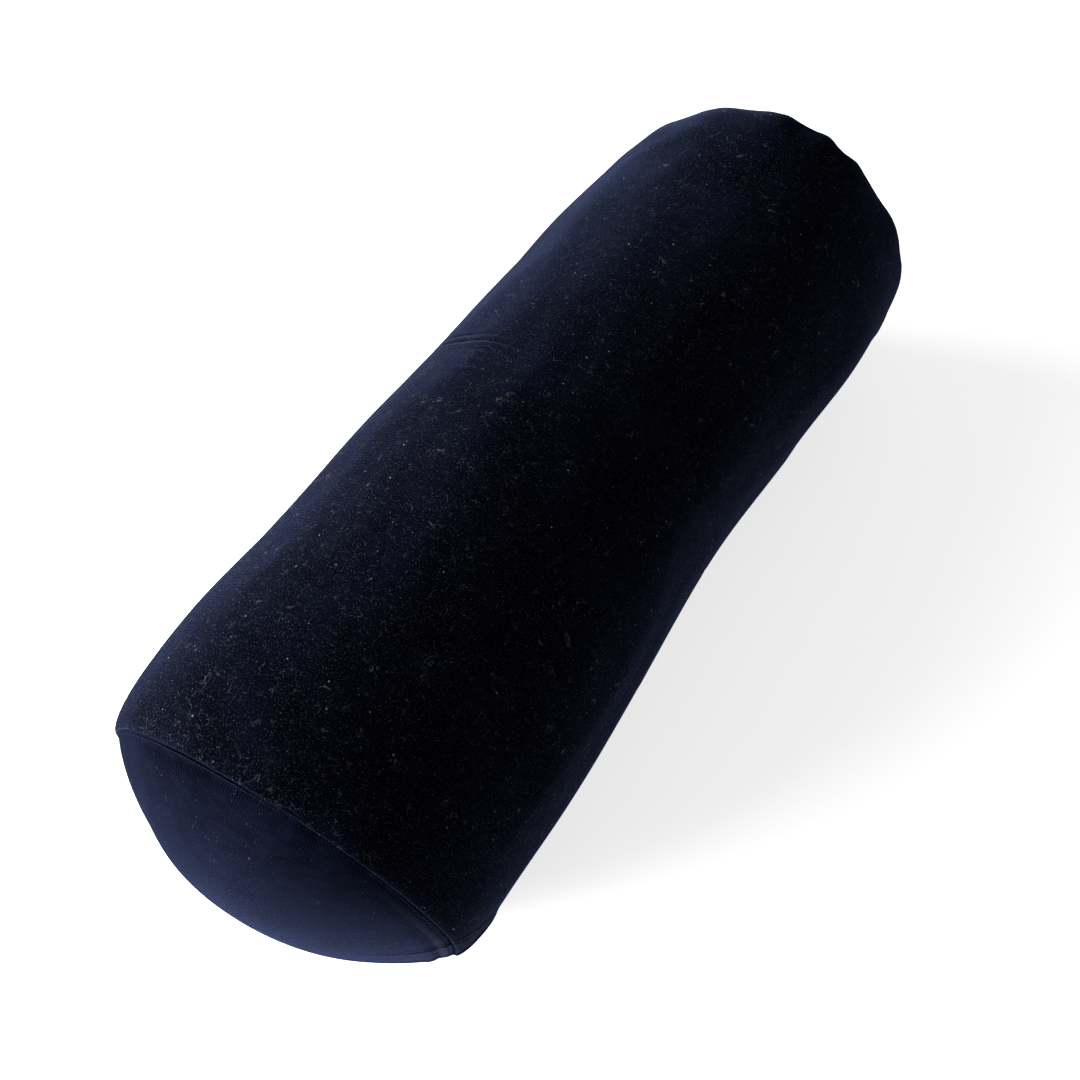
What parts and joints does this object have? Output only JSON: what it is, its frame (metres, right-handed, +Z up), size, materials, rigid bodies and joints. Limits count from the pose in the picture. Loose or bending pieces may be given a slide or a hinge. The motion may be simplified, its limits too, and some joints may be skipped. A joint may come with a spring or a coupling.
{
  "type": "bolster pillow",
  "caption": "Round bolster pillow: a velvet cover with domed end panels and a concealed zip, over a fibre-filled cotton liner.",
  "frame": {"origin": "under the middle of the pillow, on the surface that it lies on", "axes": "+X along the roll towards the zip's closed end, +Y to the side away from the zip, +Z up"},
  "size_m": [0.4146, 0.1532, 0.1455],
  "materials": {
    "cover_velvet": "dark navy stretch velvet, short pile on a fine ribbed knit",
    "navy_thread": "spun polyester thread",
    "zip_tape": "woven navy zip tape",
    "zip_coil": "dark nylon coil",
    "zip_metal": "dark enamelled zinc",
    "liner_cotton": "plain woven cotton",
    "liner_thread": "white polyester thread",
    "filling_fibre": "loose polyester fibre"
  },
  "bodies": {
    "pillow": {"cover_tube": "cover_velvet", "cover_near_end_panel": "cover_velvet", "cover_far_end_panel": "cover_velvet", "near_rim_seam_thread": "navy_thread", "far_rim_seam_thread": "navy_thread", "long_seam_thread_near": "navy_thread", "long_seam_thread_far": "navy_thread", "zip_tape_upper": "zip_tape", "zip_tape_lower": "zip_tape", "zip_coil_upper": "zip_coil", "zip_coil_lower": "zip_coil", "zip_stitching_upper": "navy_thread", "zip_stitching_lower": "navy_thread", "zip_bottom_stop": "zip_metal", "zip_top_stop": "zip_metal", "liner_tube": "liner_cotton", "liner_near_end": "liner_cotton", "liner_far_end": "liner_cotton", "liner_near_seam_thread": "liner_thread", "liner_far_seam_thread": "liner_thread", "liner_closing_thread": "liner_thread", "fibre_filling": "filling_fibre"},
    "slider": {"zip_slider": "zip_metal"},
    "pull": {"zip_pull_tab": "zip_metal"}
  },
  "joints": [
    {"name": "zip_slide", "type": "slide", "parent": "pillow", "child": "slider", "axis": [-1, 0, 0], "range_m": [0, 0.2745]},
    {"name": "pull_swing", "type": "hinge", "parent": "slider", "child": "pull", "pos_m": [0.14125, -0.0748, 0.05484], "axis": [0, -0.1908, 0.9816], "range_deg": [0, 150]}
  ]
}
